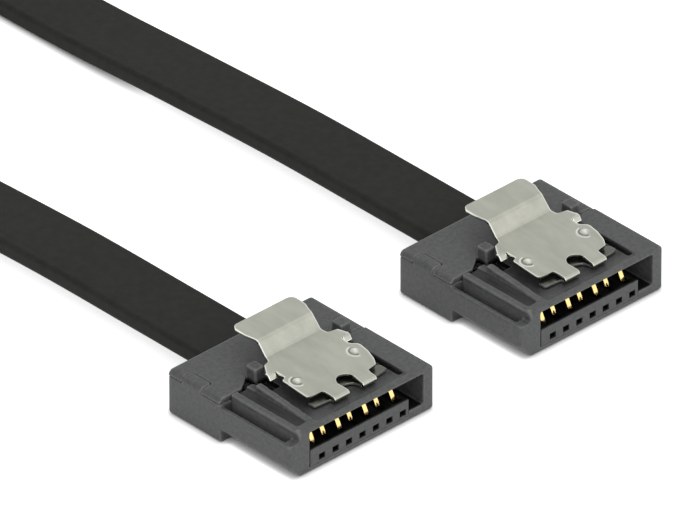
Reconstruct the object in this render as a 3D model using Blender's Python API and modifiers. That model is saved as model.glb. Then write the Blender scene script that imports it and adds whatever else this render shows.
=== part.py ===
"""Flat serial data cable with two latching plugs, modelled in metres, +Z up.

The two plugs lie side by side, fronts towards -Y, latches up. One flat cable leaves the back
of the first plug, turns back in a loop and ends in the back of the second plug.
The origin is on the ground, midway between the plugs.
"""
import bpy
import bmesh
import math
from mathutils import Vector

MM = 0.001
FIT = 0.06 * MM
CUT_PAST = 1.0 * MM

# Plug body: width across the contact row, length front to back, height without the latch
PLUG_WIDTH = 13.7 * MM
PLUG_LENGTH = 12.2 * MM
PLUG_HEIGHT = 3.55 * MM
PLUG_PITCH = 21.9 * MM
BOTTOM_CHAMFER = 1.15 * MM
EDGE_ROUND = 0.22 * MM

# Mating slot: long arm, short leg at the right end
SLOT_SIDE_WALL = 1.0 * MM
SLOT_WIDTH = 10.76 * MM
SLOT_FLOOR = 1.80 * MM
SLOT_ROOF = 0.31 * MM
SLOT_DEPTH = 6.0 * MM
LEG_WIDTH = 1.44 * MM
LEG_FLOOR = 0.82 * MM

# Contact block in the lower half of the slot, with the contacts and the test holes in its front
BLOCK_FLOOR = 0.40 * MM
CONTACT_COUNT = 7
CONTACT_PITCH = 1.27 * MM
CONTACT_ROW_OFFSET = -0.40 * MM
CONTACT_WIDTH = 0.40 * MM
CONTACT_THICK = 0.15 * MM
CONTACT_SETBACK = 0.95 * MM
CONTACT_STAGGER = 0.25 * MM
CONTACT_LIFT = 0.70 * MM
GROOVE_FLOOR = 1.20 * MM
GROOVE_FRONT = 0.35 * MM
WELL_FRONT = 0.25 * MM
WELL_DROP = 0.40 * MM
TEST_HOLE_WIDTH = 0.60 * MM
TEST_HOLE_HEIGHT = 0.49 * MM
TEST_HOLE_BOTTOM = 0.65 * MM
TEST_HOLE_DEPTH = 1.6 * MM

# Rear cover and the tray that it closes
COVER_FRONT = 6.9 * MM
COVER_THICK = 0.50 * MM
TAB_FRONT = 8.85 * MM
TAB_LENGTH = 1.95 * MM
TAB_DEPTH = 1.0 * MM
TAB_CORNER = 0.12 * MM
TAB_DRAFT = 0.05 * MM
TRAY_SIDE_WALL = 1.3 * MM
TRAY_WALL = 1.2 * MM
BACK_WALL = 0.8 * MM
TRAY_FLOOR = 0.9 * MM

# Top of the front housing: shoulder, channels and rails at the left, lowered bed below the latch
SHOULDER_WIDTH = 1.0 * MM
SHOULDER_DROP = 0.70 * MM
CHANNEL_WALL = 0.4 * MM
CHANNEL_FRONT = 0.8 * MM
CHANNEL_DEPTH = 1.45 * MM
RAIL_WIDTH = 0.6 * MM
BED_DROP = 0.13 * MM
BED_FRONT = 0.5 * MM
WINDOW_DEPTH = 0.65 * MM
WINDOW_SPARE = 0.2 * MM
GAP_WIDTH = 0.85 * MM
GAP_DEPTH = 0.2 * MM
SLIT_WIDTH = 0.45 * MM
SLIT_FRONT = 0.9 * MM
RAMP_WIDTH = 0.62 * MM
RAMP_BACK = 6.05 * MM
RAMP_RISE = 0.45 * MM
BED_RIGHT = 4.82 * MM
BOSS_GAP_LEFT = 0.17 * MM
BOSS_GAP_RIGHT = 1.05 * MM
BOSS_WIDTH = 0.9 * MM
BOSS_FRONT = 6.98 * MM
BOSS_LENGTH = 0.95 * MM
BOSS_RISE = 0.85 * MM
PIT_LENGTH = 1.0 * MM
PIT_WIDTH = 1.3 * MM

# Latch: one folded strip of spring steel, drawn about its own centre line
LATCH_OFFSET = 0.13 * MM
SHEET = 0.18 * MM
LATCH_FRONT = 1.15 * MM
LEAF_RISE = 0.08 * MM
FOLD_RADIUS = 0.165 * MM
PLATE_SLOPE = math.radians(5.0)
NECK_START = 7.6 * MM
NECK_SLOPE = math.radians(50.0)
NECK_RUN = 0.85 * MM
PAD_SLOPE = math.radians(3.0)
LATCH_LENGTH = 9.6 * MM
FINGER_OUTER = 1.98 * MM
LEAF_HALF = 3.45 * MM
FINGER_INNER = 0.65 * MM
PLATE_HALF = 3.0 * MM
WING_HALF = 3.5 * MM
NECK_HALF = 2.6 * MM
PAD_HALF = 2.95 * MM
PAD_CORNER = 0.7 * MM
BARB_DROP = 0.42 * MM
BARB_REACH = 0.75 * MM
BARB_FRONT = 5.72 * MM
BARB_ROOT = 6.05 * MM
BARB_BACK = 6.95 * MM
BARB_THICK = 0.13 * MM
NOTCH_RADIUS = 0.72 * MM
NOTCH_CENTRE = 2.2 * MM
LEAF_FRONT = 1.8 * MM
LEAF_BACK = 5.2 * MM

# Cable and the wires inside the plug
CABLE_WIDTH = 5.6 * MM
CABLE_THICK = 1.3 * MM
CABLE_HEIGHT = 1.80 * MM
WIRE_PITCH = 0.78 * MM
CORE_DIAMETER = 0.60 * MM
DRAIN_DIAMETER = 0.36 * MM
DRAIN_STEP_COUNT = 3
WIRE_SETBACK = 1.0 * MM
COMB_SETBACK = 2.1 * MM
COMB_LENGTH = 0.7 * MM
COMB_TAIL_GAP = 0.4 * MM

# Half of the cable's route from the first plug's back to the top of the loop, in millimetres:
# x, y, height of the centre line, and how far the ribbon has turned up on its edge, in degrees
HALF_ROUTE = (
    (-10.95, 5.30, 1.80, 0),
    (-10.95, 14.0, 1.80, 0),
    (-10.95, 24.0, 1.75, 0),
    (-10.95, 35.0, 1.30, 0),
    (-10.95, 46.0, 0.78, 0),
    (-10.95, 57.0, 0.72, 0),
    (-11.20, 66.0, 1.46, 17),
    (-11.80, 75.0, 2.43, 42),
    (-12.60, 84.0, 2.86, 67),
    (-13.50, 93.0, 2.90, 84),
    (-14.40, 103.0, 2.85, 90),
    (-15.00, 114.0, 2.85, 90),
    (-15.20, 124.0, 2.85, 90),
    (-14.40, 134.0, 2.85, 90),
    (-10.90, 141.8, 2.85, 90),
    (-5.60, 146.2, 2.85, 90),
)
LOOP_TOP = (0.0, 147.6, 2.85, 90)
SAMPLES_PER_SPAN = 2

SLOT_CENTRE = PLUG_WIDTH / 2 - SLOT_SIDE_WALL - SLOT_WIDTH / 2
SLOT_CEILING = PLUG_HEIGHT - SLOT_ROOF
LATCH_CENTRE = SLOT_CENTRE + LATCH_OFFSET
SEAM = PLUG_HEIGHT - COVER_THICK
BED = PLUG_HEIGHT - BED_DROP
TRAY_FRONT = SLOT_DEPTH + TRAY_WALL
TRAY_BACK = PLUG_LENGTH - BACK_WALL
COMB_FRONT = TRAY_BACK - COMB_SETBACK
TAIL_END = COMB_FRONT - COMB_TAIL_GAP
WIRE_END = TRAY_FRONT + WIRE_SETBACK


def material(name, colour, roughness, metallic=0.0):
    """A plain Principled material."""
    made = bpy.data.materials.new(name)
    made.use_nodes = True
    shader = made.node_tree.nodes["Principled BSDF"]
    shader.inputs["Base Color"].default_value = (*colour, 1.0)
    shader.inputs["Roughness"].default_value = roughness
    shader.inputs["Metallic"].default_value = metallic
    return made


def new_object(name, mesh, home, finish=None):
    """Link a mesh as an object, with its material when it is a part."""
    made = bpy.data.objects.new(name, mesh)
    home.objects.link(made)
    if finish is not None:
        mesh.materials.append(finish)
    return made


def box_mesh(name, boxes):
    """One mesh with a box for each (low corner, high corner)."""
    mesh = bpy.data.meshes.new(name)
    bm = bmesh.new()
    for low, high in boxes:
        low = Vector(low)
        high = Vector(high)
        cube = bmesh.ops.create_cube(bm, size=1.0)
        for vert in cube["verts"]:
            vert.co = (low + high) / 2 + Vector(a * b for a, b in zip(vert.co, high - low))
    bm.to_mesh(mesh)
    bm.free()
    return mesh


def outline_mesh(name, points, low, high):
    """A flat outline in X and Y, filled, and as thick as from low to high."""
    curve = bpy.data.curves.new(name, "CURVE")
    curve.dimensions = "2D"
    curve.fill_mode = "BOTH"
    curve.extrude = (high - low) / 2
    spline = curve.splines.new("POLY")
    spline.points.add(len(points) - 1)
    for point, (x, y) in zip(spline.points, points):
        point.co = (x, y, 0.0, 1.0)
    spline.use_cyclic_u = True
    flat = bpy.data.objects.new(name, curve)
    bpy.context.scene.collection.objects.link(flat)
    bpy.context.view_layer.update()
    drawn = flat.evaluated_get(bpy.context.evaluated_depsgraph_get())
    mesh = bpy.data.meshes.new_from_object(drawn)
    bpy.data.objects.remove(flat)
    bpy.data.curves.remove(curve)
    bm = bmesh.new()
    bm.from_mesh(mesh)
    bmesh.ops.remove_doubles(bm, verts=bm.verts, dist=1e-7)
    bmesh.ops.translate(bm, verts=bm.verts, vec=(0, 0, (low + high) / 2))
    bmesh.ops.recalc_face_normals(bm, faces=bm.faces)
    bm.to_mesh(mesh)
    bm.free()
    return mesh


def cut(target, cutter, kind="DIFFERENCE"):
    """Take the cutter away from the target, or add it."""
    cutter.hide_render = True
    cutter.display_type = "WIRE"
    step = target.modifiers.new(cutter.name, "BOOLEAN")
    step.operation = kind
    step.solver = "EXACT"
    step.object = cutter


def arc(centre_x, centre_y, radius, start, end, steps):
    """Points along a round stretch, angles in degrees."""
    turn = [math.radians(start + (end - start) * i / steps) for i in range(steps + 1)]
    return [(centre_x + radius * math.cos(a), centre_y + radius * math.sin(a)) for a in turn]


def mirrored(half):
    """A closed outline from its right half, which runs from the axis back to the axis."""
    return half + [(-x, y) for x, y in reversed(half) if x > 1e-7]


def offset_path(path, lift):
    """A path of (y, z) points moved sideways by lift, with mitred corners."""
    moved = []
    for i, point in enumerate(path):
        before = path[max(i - 1, 0)]
        after = path[min(i + 1, len(path) - 1)]
        here = Vector(point)
        first = (here - Vector(before)) if i > 0 else (Vector(after) - here)
        second = (Vector(after) - here) if i < len(path) - 1 else first
        first.normalize()
        second.normalize()
        sides = [Vector((-d.y, d.x)) for d in (first, second)]
        mitre = (sides[0] + sides[1]) / (1.0 + sides[0].dot(sides[1]))
        moved.append(here + mitre * lift)
    return moved


def path_lengths(path):
    """How far along the path each of its points lies."""
    lengths = [0.0]
    for a, b in zip(path, path[1:]):
        lengths.append(lengths[-1] + (Vector(b) - Vector(a)).length)
    return lengths


def along_at(path, y):
    """How far along the path it last reaches this y."""
    lengths = path_lengths(path)
    for i in range(len(path) - 2, -1, -1):
        start, end = path[i][0], path[i + 1][0]
        if min(start, end) <= y <= max(start, end) and start != end:
            return lengths[i] + (lengths[i + 1] - lengths[i]) * (y - start) / (end - start)
    return lengths[-1]


def bent_sheet(name, outline, path, thick):
    """A sheet drawn flat as (x, distance along the path) and bent to follow the path in Y and Z."""
    mesh = outline_mesh(name, outline, -thick / 2, thick / 2)
    lengths = path_lengths(path)
    bm = bmesh.new()
    bm.from_mesh(mesh)
    for length in lengths[1:-1]:
        everything = bm.verts[:] + bm.edges[:] + bm.faces[:]
        bmesh.ops.bisect_plane(bm, geom=everything, dist=1e-8, plane_co=(0, length, 0), plane_no=(0, 1, 0))
    sides = {}
    for vert in bm.verts:
        lift = thick / 2 if vert.co.z > 0 else -thick / 2
        if lift not in sides:
            sides[lift] = offset_path(path, lift)
        span = 0
        while span < len(path) - 2 and vert.co.y > lengths[span + 1]:
            span += 1
        share = (vert.co.y - lengths[span]) / (lengths[span + 1] - lengths[span])
        place = sides[lift][span].lerp(sides[lift][span + 1], share)
        vert.co = (vert.co.x, place.x, place.y)
    bmesh.ops.recalc_face_normals(bm, faces=bm.faces)
    bm.to_mesh(mesh)
    bm.free()
    return mesh


def place(made, centre_x):
    """Move a piece from the plug's own frame, whose y starts at the front face, to its plug."""
    made.location = (centre_x, -PLUG_LENGTH / 2, 0.0)


def contact_x(index):
    """The x of a contact, from the left."""
    return (index - (CONTACT_COUNT - 1) / 2) * CONTACT_PITCH + SLOT_CENTRE + CONTACT_ROW_OFFSET


def tab_outline(gap):
    """The housing's locking tab at the left as an outline that starts outside; gap widens it all round."""
    edge = PLUG_WIDTH / 2
    front = TAB_FRONT - gap
    back = TAB_FRONT + TAB_LENGTH + gap
    head = edge - TAB_DEPTH - gap
    return [
        (-edge - CUT_PAST, back - TAB_DRAFT),
        (-head - TAB_CORNER, back),
        (-head, back - TAB_CORNER),
        (-head, front + TAB_CORNER),
        (-head - TAB_CORNER, front),
        (-edge - CUT_PAST, front + TAB_DRAFT),
    ]


def cover_outline(gap):
    """The rear cover from above, with the notch for the tab; gap draws it in all round."""
    far = PLUG_LENGTH + (CUT_PAST if gap == 0 else 0.0)
    edge = PLUG_WIDTH / 2 + (CUT_PAST if gap == 0 else 0.0)
    left = [(max(x, -edge), y) for x, y in tab_outline(gap)]
    front = COVER_FRONT + gap
    return [(-edge, front), (edge, front), (edge, far), (-edge, far)] + left


def profile_mesh(name, points, front, back):
    """An outline drawn in X and Z, as deep as from front to back."""
    mesh = outline_mesh(name, points, -back, -front)
    for vert in mesh.vertices:
        vert.co = (vert.co.x, -vert.co.z, vert.co.y)
    return mesh


def housing_cuts():
    """Everything that is taken out of a housing, as (name, mesh) pairs in the plug's own frame."""
    half = PLUG_WIDTH / 2
    top = PLUG_HEIGHT + CUT_PAST
    outside = half + CUT_PAST
    chamfer = [
        (-outside, BOTTOM_CHAMFER + CUT_PAST),
        (-half + BOTTOM_CHAMFER + CUT_PAST, -CUT_PAST),
        (-outside, -CUT_PAST),
    ]
    slot_left = SLOT_CENTRE - SLOT_WIDTH / 2
    slot_right = SLOT_CENTRE + SLOT_WIDTH / 2
    block_right = slot_right - LEG_WIDTH + FIT
    slot = [
        (slot_left, BLOCK_FLOOR),
        (block_right, BLOCK_FLOOR),
        (block_right, LEG_FLOOR),
        (slot_right, LEG_FLOOR),
        (slot_right, SLOT_CEILING),
        (slot_left, SLOT_CEILING),
    ]
    block_seat = ((slot_left, SLOT_DEPTH - CUT_PAST, BLOCK_FLOOR), (block_right, TRAY_FRONT + FIT, SLOT_FLOOR + FIT))
    groove = CONTACT_WIDTH / 2 + FIT
    back_of_slot = SLOT_DEPTH - CUT_PAST
    passages = [
        ((x - groove, back_of_slot, GROOVE_FLOOR), (x + groove, TRAY_FRONT + CUT_PAST, SLOT_FLOOR))
        for x in (contact_x(i) for i in range(CONTACT_COUNT))
    ]
    tray_half = half - TRAY_SIDE_WALL
    tray = ((-tray_half, TRAY_FRONT, TRAY_FLOOR), (tray_half, TRAY_BACK, top))
    exit_half = CABLE_WIDTH / 2 + FIT
    cable_exit = (
        (-exit_half, TRAY_BACK - CUT_PAST, CABLE_HEIGHT - CABLE_THICK / 2 - FIT),
        (exit_half, PLUG_LENGTH + CUT_PAST, top),
    )
    rail_left = -half + SHOULDER_WIDTH
    rail_right = rail_left + RAIL_WIDTH
    back = COVER_FRONT + FIT
    shoulder = ((-outside, -CUT_PAST, PLUG_HEIGHT - SHOULDER_DROP), (rail_left, back, top))
    channel = ((-half + CHANNEL_WALL, CHANNEL_FRONT, PLUG_HEIGHT - CHANNEL_DEPTH), (rail_left, back, top))
    ramp_left = rail_right + GAP_WIDTH
    window_floor = PLUG_HEIGHT - WINDOW_DEPTH
    slits = [
        ((rail_right, SLIT_FRONT, PLUG_HEIGHT - GAP_DEPTH), (ramp_left, back, top)),
        ((BED_RIGHT - SLIT_WIDTH, SLIT_FRONT, window_floor), (BED_RIGHT - FIT, BARB_FRONT - SLIT_WIDTH, top)),
    ]
    bed = ((ramp_left + RAMP_WIDTH, BED_FRONT, BED), (BED_RIGHT, back, top))
    inner = PLATE_HALF + FIT
    outer = PLATE_HALF + BARB_REACH + WINDOW_SPARE
    barb_windows = [
        ((LATCH_CENTRE + low, BARB_FRONT - WINDOW_SPARE, window_floor), (LATCH_CENTRE + high, back, top))
        for low, high in ((-outer, -inner), (inner, outer))
    ]
    return [
        ("chamfer", profile_mesh("chamfer", chamfer, -CUT_PAST, COVER_FRONT)),
        ("slot", profile_mesh("slot", slot, -CUT_PAST, SLOT_DEPTH)),
        ("block_seat", box_mesh("block_seat", [block_seat])),
        ("passages", box_mesh("passages", passages)),
        ("tray", box_mesh("tray", [tray])),
        ("cable_exit", box_mesh("cable_exit", [cable_exit])),
        ("cover_seat", outline_mesh("cover_seat", cover_outline(0.0), SEAM, top)),
        ("shoulder", box_mesh("shoulder", [shoulder])),
        ("channel", box_mesh("channel", [channel])),
        ("slits", box_mesh("slits", slits)),
        ("bed", box_mesh("bed", [bed])),
        ("barb_windows", box_mesh("barb_windows", barb_windows)),
    ]


def block_cuts():
    """The block's test holes, the grooves in its top and the well behind its lip, as (name, mesh) pairs."""
    hole = TEST_HOLE_WIDTH / 2
    groove = CONTACT_WIDTH / 2 + FIT
    hole_top = TEST_HOLE_BOTTOM + TEST_HOLE_HEIGHT
    rows = [contact_x(i) for i in range(CONTACT_COUNT)]
    test_holes = [((x - hole, -CUT_PAST, TEST_HOLE_BOTTOM), (x + hole, TEST_HOLE_DEPTH, hole_top)) for x in rows]
    past = TRAY_FRONT + CUT_PAST
    grooves = [((x - groove, GROOVE_FRONT, GROOVE_FLOOR), (x + groove, past, SLOT_FLOOR + FIT)) for x in rows]
    well = ((rows[0] - groove, WELL_FRONT, SLOT_FLOOR - WELL_DROP), (rows[-1] + groove, SLOT_DEPTH, SLOT_FLOOR + FIT))
    return [
        ("test_holes", box_mesh("test_holes", test_holes)),
        ("grooves", box_mesh("grooves", grooves)),
        ("well", box_mesh("well", [well])),
    ]


def ramp_mesh():
    """The guide ramp beside the latch, which rises from the bed's front to its back."""
    left = -PLUG_WIDTH / 2 + SHOULDER_WIDTH + RAIL_WIDTH + GAP_WIDTH
    low = (left + FIT, SLIT_FRONT + FIT, PLUG_HEIGHT - SLOT_ROOF / 2)
    mesh = box_mesh("ramp", [(low, (left + RAMP_WIDTH - FIT, RAMP_BACK, PLUG_HEIGHT + FIT))])
    for vert in mesh.vertices:
        if vert.co.z > PLUG_HEIGHT and vert.co.y > RAMP_BACK - FIT:
            vert.co.z += RAMP_RISE
    return mesh


def boss_mesh():
    """The two bosses that stand on the cover behind the latch's ears; the right one stands further out."""
    boxes = []
    for side, gap in ((-1, BOSS_GAP_LEFT), (1, BOSS_GAP_RIGHT)):
        inner = PLATE_HALF + gap
        edges = sorted((LATCH_CENTRE + side * inner, LATCH_CENTRE + side * (inner + BOSS_WIDTH)))
        low = (edges[0], BOSS_FRONT, SEAM + COVER_THICK / 2)
        boxes.append((low, (edges[1], BOSS_FRONT + BOSS_LENGTH, PLUG_HEIGHT + BOSS_RISE)))
    return box_mesh("bosses", boxes)


def pit_mesh():
    """The three-cornered notch in the cover's front edge, at the left of the left boss."""
    right = LATCH_CENTRE - PLATE_HALF - BOSS_GAP_LEFT - BOSS_WIDTH
    points = [
        (right - PIT_WIDTH, COVER_FRONT - CUT_PAST),
        (right, COVER_FRONT - CUT_PAST),
        (right, COVER_FRONT + PIT_LENGTH),
        (right - PIT_WIDTH, COVER_FRONT + FIT),
    ]
    return outline_mesh("pit", points, SEAM - CUT_PAST, PLUG_HEIGHT + CUT_PAST)


def latch_path():
    """The side of the latch as (y, z): under the fold, round it, back along the plate and up to the pad."""
    fold_y = LATCH_FRONT + SHEET / 2 + FOLD_RADIUS
    leaf_z = BED + LEAF_RISE + SHEET / 2
    path = arc(fold_y, leaf_z + FOLD_RADIUS, FOLD_RADIUS, -90, -274, 8)
    last_y, last_z = path[-1]
    bend = 0.12 * MM
    plate_end_z = last_z + math.tan(PLATE_SLOPE) * (NECK_START - last_y)
    path.append((NECK_START - bend, plate_end_z - bend * math.tan(PLATE_SLOPE)))
    path.append((NECK_START + bend * 0.7, plate_end_z + bend * 0.7 * math.tan(NECK_SLOPE)))
    neck_end = NECK_START + NECK_RUN
    pad_z = plate_end_z + NECK_RUN * math.tan(NECK_SLOPE)
    path.append((neck_end - bend * 0.7, pad_z - bend * 0.7 * math.tan(NECK_SLOPE)))
    path.append((neck_end + bend, pad_z + bend * math.tan(PAD_SLOPE)))
    pad_end = LATCH_FRONT + LATCH_LENGTH
    path.append((pad_end, pad_z + (pad_end - neck_end) * math.tan(PAD_SLOPE)))
    return path


def latch_outline(path):
    """The latch flat, as (x, distance along the path), without its barbs."""
    wing_front = NOTCH_CENTRE + 0.2 * MM
    wing_back = 4.9 * MM
    pad_end = LATCH_FRONT + LATCH_LENGTH
    neck_end = NECK_START + NECK_RUN
    half = [(x, along_at(path, y)) for x, y in arc(0, NOTCH_CENTRE, NOTCH_RADIUS, 90, -25, 7)]
    half += [(FINGER_INNER, along_at(path, NOTCH_CENTRE - NOTCH_RADIUS)), (FINGER_INNER, 0.0), (FINGER_OUTER, 0.0)]
    plan = [
        (FINGER_OUTER, NOTCH_CENTRE - 0.45 * MM),
        (FINGER_OUTER + 0.3 * MM, wing_front - 0.08 * MM),
        (WING_HALF - 0.45 * MM, wing_front),
        (WING_HALF - 0.35 * MM, wing_front + 0.1 * MM),
        (WING_HALF - 0.08 * MM, wing_front + 1.2 * MM),
        (WING_HALF, wing_back - 0.6 * MM),
        (WING_HALF - 0.12 * MM, wing_back - 0.1 * MM),
        (PLATE_HALF, wing_back + 0.1 * MM),
        (PLATE_HALF, BARB_ROOT),
        (PLATE_HALF + BARB_REACH - 0.04 * MM, BARB_ROOT + 0.03 * MM),
        (PLATE_HALF + BARB_REACH, BARB_ROOT + 0.2 * MM),
        (PLATE_HALF + 0.04 * MM, BARB_BACK),
        (PLATE_HALF - 0.12 * MM, NECK_START - 0.12 * MM),
        (NECK_HALF, NECK_START),
        (NECK_HALF - 0.08 * MM, neck_end),
        (NECK_HALF + 0.1 * MM, neck_end + 0.45 * MM),
        (PAD_HALF - 0.05 * MM, neck_end + 0.95 * MM),
    ]
    plan += arc(PAD_HALF - PAD_CORNER, pad_end - PAD_CORNER, PAD_CORNER, 0, 90, 4)
    half += [(x, along_at(path, y)) for x, y in plan]
    return mirrored(half + [(0.0, along_at(path, pad_end))])


def latch_mesh():
    """The moving part of the latch: fingers, plate, neck, thumb pad and two barbs."""
    path = latch_path()
    return bent_sheet("latch", latch_outline(path), path, SHEET)


def barb_mesh():
    """The two barbs: slabs that run forward from the latch's rear wings and slope down."""
    path = latch_path()
    back = BARB_ROOT + SHEET
    boxes = []
    for side in (-1, 1):
        edges = sorted((side * (PLATE_HALF + SHEET), side * (PLATE_HALF + BARB_REACH - FIT)))
        middle = path_height(path, back)
        boxes.append(((edges[0], BARB_FRONT, middle - BARB_THICK / 2), (edges[1], back, middle + BARB_THICK / 2)))
    mesh = box_mesh("barbs", boxes)
    for vert in mesh.vertices:
        if vert.co.y < BARB_ROOT:
            vert.co.z -= BARB_DROP
    return mesh


def path_height(path, y):
    """The z of the path where it last reaches this y."""
    for a, b in reversed(list(zip(path, path[1:]))):
        if min(a[0], b[0]) <= y <= max(a[0], b[0]) and a[0] != b[0]:
            return a[1] + (b[1] - a[1]) * (y - a[0]) / (b[0] - a[0])
    return path[-1][1]


def leaf_mesh():
    """The fixed leaf below the plate, from the fold to the plate's middle."""
    fold_y = LATCH_FRONT + SHEET / 2 + FOLD_RADIUS
    half = arc(0, LEAF_FRONT - 0.2 * MM, NOTCH_RADIUS, 90, 25, 4)
    half += [
        (FINGER_INNER, LEAF_FRONT - 0.15 * MM),
        (FINGER_INNER, fold_y + FIT),
        (FINGER_OUTER, fold_y + FIT),
        (FINGER_OUTER, LEAF_FRONT - 0.15 * MM),
        (FINGER_OUTER + 0.2 * MM, LEAF_FRONT),
        (LEAF_HALF, LEAF_FRONT),
        (LEAF_HALF, LEAF_FRONT + 0.6 * MM),
        (PLATE_HALF - 0.2 * MM, LEAF_FRONT + 1.0 * MM),
        (PLATE_HALF - 0.2 * MM, LEAF_BACK),
        (0.0, LEAF_BACK),
    ]
    low = BED + LEAF_RISE
    return outline_mesh("latch_leaf", mirrored(half), low, low + SHEET)


def contact_path(setback):
    """The side of a contact as (y, z), from its tip to the end of its solder tail."""
    tail = GROOVE_FLOOR + FIT + CONTACT_THICK / 2
    apex = SLOT_FLOOR + CONTACT_LIFT
    nose = setback + 0.15 * MM
    return [
        (setback, tail + 0.1 * MM),
        (nose, SLOT_FLOOR - 0.05 * MM),
        (nose + 0.22 * MM, apex - 0.35 * MM),
        (nose + 0.55 * MM, apex - 0.08 * MM),
        (nose + 1.0 * MM, apex),
        (nose + 1.6 * MM, apex - 0.12 * MM),
        (SLOT_DEPTH + 0.4 * MM, tail),
        (TAIL_END, tail),
    ]


def contact_mesh(forked):
    """One contact blade; the forked ones sit a little further back."""
    setback = CONTACT_SETBACK + (CONTACT_STAGGER if forked else 0.0)
    path = contact_path(setback)
    half_width = CONTACT_WIDTH / 2
    end = path_lengths(path)[-1]
    if forked:
        tip = [(half_width, 0.2 * MM), (half_width * 0.8, 0.0), (0.08 * MM, 0.0), (0.05 * MM, 0.22 * MM)]
        tip += [(0.0, 0.28 * MM)]
    else:
        tip = [(half_width, 0.25 * MM), (half_width * 0.6, 0.04 * MM), (0.0, 0.0)]
    outline = mirrored([(0.0, end), (half_width, end)] + tip)
    return bent_sheet("contact", outline, path, CONTACT_THICK)


def tube(name, points, radius, home, finish):
    """A round wire through the points."""
    curve = bpy.data.curves.new(name, "CURVE")
    curve.dimensions = "3D"
    curve.bevel_depth = radius
    curve.bevel_resolution = 2
    curve.use_fill_caps = True
    spline = curve.splines.new("POLY")
    spline.points.add(len(points) - 1)
    for point, place_at in zip(spline.points, points):
        point.co = (*place_at, 1.0)
    made = bpy.data.objects.new(name, curve)
    home.objects.link(made)
    curve.materials.append(finish)
    return made


def wire_points(index, radius):
    """A wire from the cable's end out to its contact's tail."""
    middle = (CONTACT_COUNT - 1) / 2
    cable_x = (index - middle) * WIRE_PITCH
    rest = GROOVE_FLOOR + FIT + CONTACT_THICK + FIT + radius
    start = TRAY_BACK - FIT
    return [
        (cable_x, start, rest),
        (cable_x, start - 0.25 * MM, rest),
        (contact_x(index), COMB_FRONT + COMB_LENGTH / 4, rest),
        (contact_x(index), WIRE_END, rest),
    ]


def smooth_route():
    """The whole route: the half route and its mirror image, with points added on a smooth curve."""
    back = [(-x, y, z, turn) for x, y, z, turn in reversed(HALF_ROUTE)]
    knots = [Vector(p) for p in (*HALF_ROUTE, LOOP_TOP, *back)]
    points = []
    for i in range(len(knots) - 1):
        before = knots[max(i - 1, 0)]
        after = knots[min(i + 2, len(knots) - 1)]
        for step in range(SAMPLES_PER_SPAN):
            t = step / SAMPLES_PER_SPAN
            a = 2 * knots[i]
            b = (knots[i + 1] - before) * t
            c = (2 * before - 5 * knots[i] + 4 * knots[i + 1] - after) * t ** 2
            d = (3 * knots[i] - before - 3 * knots[i + 1] + after) * t ** 3
            points.append((a + b + c + d) / 2)
    points.append(knots[-1])
    return points


def make_cable(home, finish):
    """The flat cable: a ribbon with round edges along the route."""
    curve = bpy.data.curves.new("cable", "CURVE")
    curve.dimensions = "3D"
    curve.twist_mode = "Z_UP"
    curve.bevel_depth = CABLE_THICK / 2
    curve.extrude = (CABLE_WIDTH - CABLE_THICK) / 2
    curve.bevel_resolution = 2
    curve.use_fill_caps = True
    spline = curve.splines.new("POLY")
    route = smooth_route()
    spline.points.add(len(route) - 1)
    for point, (x, y, z, turn) in zip(spline.points, route):
        point.co = (x * MM, y * MM, z * MM, 1.0)
        point.tilt = math.radians(turn - 90)
    made = bpy.data.objects.new("cable", curve)
    home.objects.link(made)
    curve.materials.append(finish)
    return made


def make_housing(tag, centre_x, parts, cutters, finish):
    """The plug's body with its slot, tray, channels and windows."""
    half = PLUG_WIDTH / 2
    mesh = box_mesh(f"housing_{tag}", [((-half, 0.0, 0.0), (half, PLUG_LENGTH, PLUG_HEIGHT))])
    housing = new_object(f"housing_{tag}", mesh, parts, finish)
    place(housing, centre_x)
    rounding = housing.modifiers.new("edges", "BEVEL")
    rounding.width = EDGE_ROUND
    rounding.segments = 2
    for name, mesh in housing_cuts():
        cutter = new_object(f"cut_{name}_{tag}", mesh, cutters)
        place(cutter, centre_x)
        cut(housing, cutter)
    ramp = new_object(f"add_ramp_{tag}", ramp_mesh(), cutters)
    place(ramp, centre_x)
    cut(housing, ramp, "UNION")


def make_block(tag, centre_x, parts, cutters, finish):
    """The block that carries the contacts and forms the slot's floor."""
    low = (SLOT_CENTRE - SLOT_WIDTH / 2 + FIT, 0.0, BLOCK_FLOOR + FIT)
    high = (SLOT_CENTRE + SLOT_WIDTH / 2 - LEG_WIDTH, TRAY_FRONT, SLOT_FLOOR)
    block = new_object(f"contact_block_{tag}", box_mesh("block", [(low, high)]), parts, finish)
    place(block, centre_x)
    for name, mesh in block_cuts():
        cutter = new_object(f"cut_{name}_{tag}", mesh, cutters)
        place(cutter, centre_x)
        cut(block, cutter)


def make_cover(tag, centre_x, parts, cutters, finish):
    """The rear cover with the rib that holds the cable down."""
    mesh = outline_mesh(f"rear_cover_{tag}", cover_outline(FIT), SEAM + FIT, PLUG_HEIGHT)
    cover = new_object(f"rear_cover_{tag}", mesh, parts, finish)
    place(cover, centre_x)
    rib_half = CABLE_WIDTH / 2
    cable_top = CABLE_HEIGHT + CABLE_THICK / 2
    rib = ((-rib_half, TRAY_BACK + FIT, cable_top + FIT), (rib_half, PLUG_LENGTH, SEAM + FIT + COVER_THICK / 2))
    rib_piece = new_object(f"add_rib_{tag}", box_mesh("rib", [rib]), cutters)
    place(rib_piece, centre_x)
    cut(cover, rib_piece, "UNION")
    bosses = new_object(f"add_bosses_{tag}", boss_mesh(), cutters)
    place(bosses, centre_x)
    cut(cover, bosses, "UNION")
    pit = new_object(f"cut_pit_{tag}", pit_mesh(), cutters)
    place(pit, centre_x)
    cut(cover, pit)


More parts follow.
